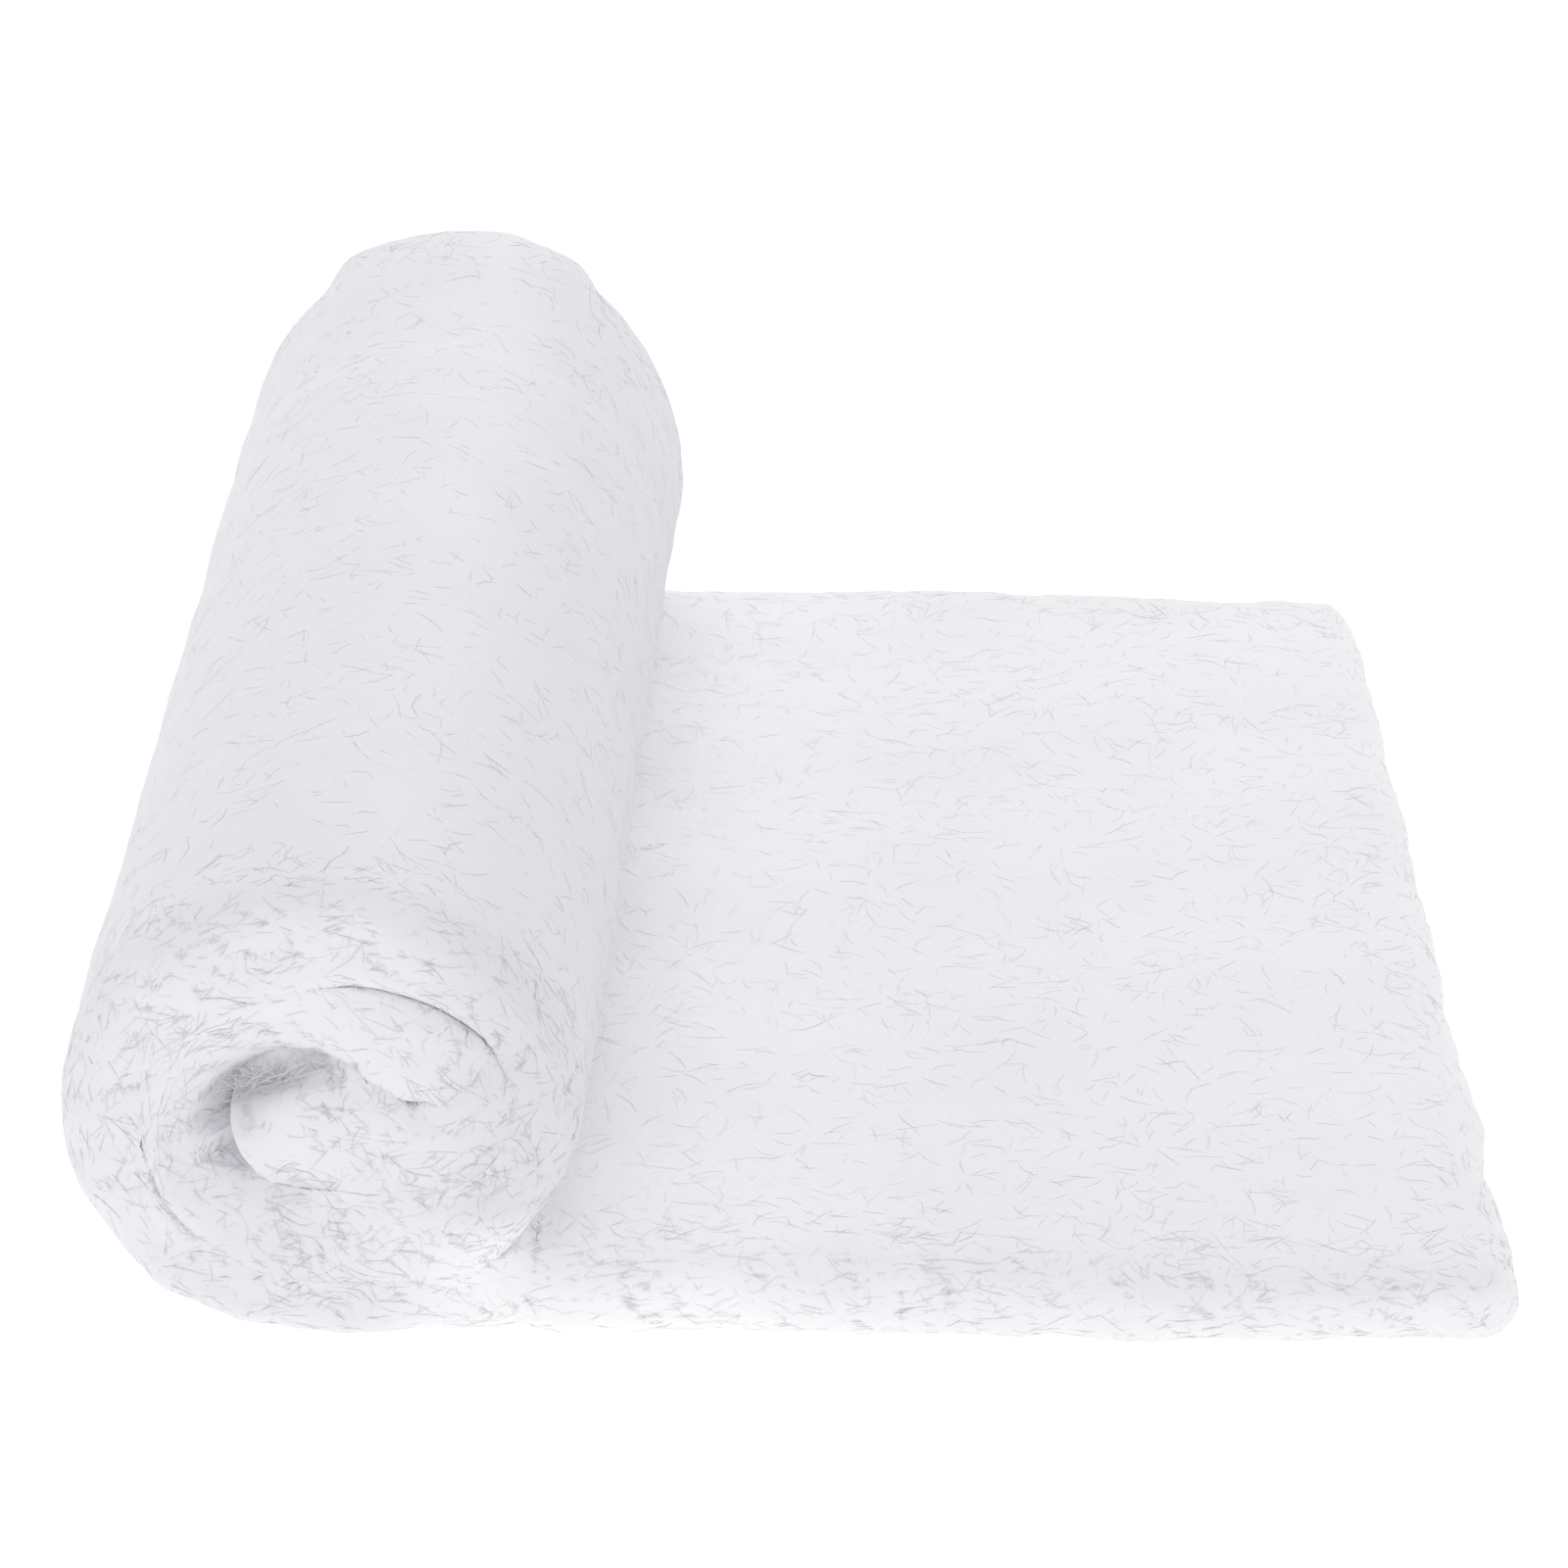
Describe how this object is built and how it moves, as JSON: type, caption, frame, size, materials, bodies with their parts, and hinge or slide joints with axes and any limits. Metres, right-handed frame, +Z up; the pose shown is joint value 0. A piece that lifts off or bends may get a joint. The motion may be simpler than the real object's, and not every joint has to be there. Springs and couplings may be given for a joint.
{
  "type": "acoustic insulation sheet",
  "caption": "Soft sheet of white polyester wadding for sound absorption, loosely rolled from one end with the rest lying flat.",
  "frame": {"origin": "bottom centre of the part's box, on the floor that the sheet lies on", "axes": "+X along the unrolled end, away from the roll; +Y along the roll's axis, from the tight end to the loose end; +Z up"},
  "size_m": [0.4588, 0.5, 0.1834],
  "materials": {
    "wadding": "soft matt white polyester fibre"
  },
  "bodies": {
    "root": {"wadding_sheet": "wadding"}
  },
  "joints": []
}
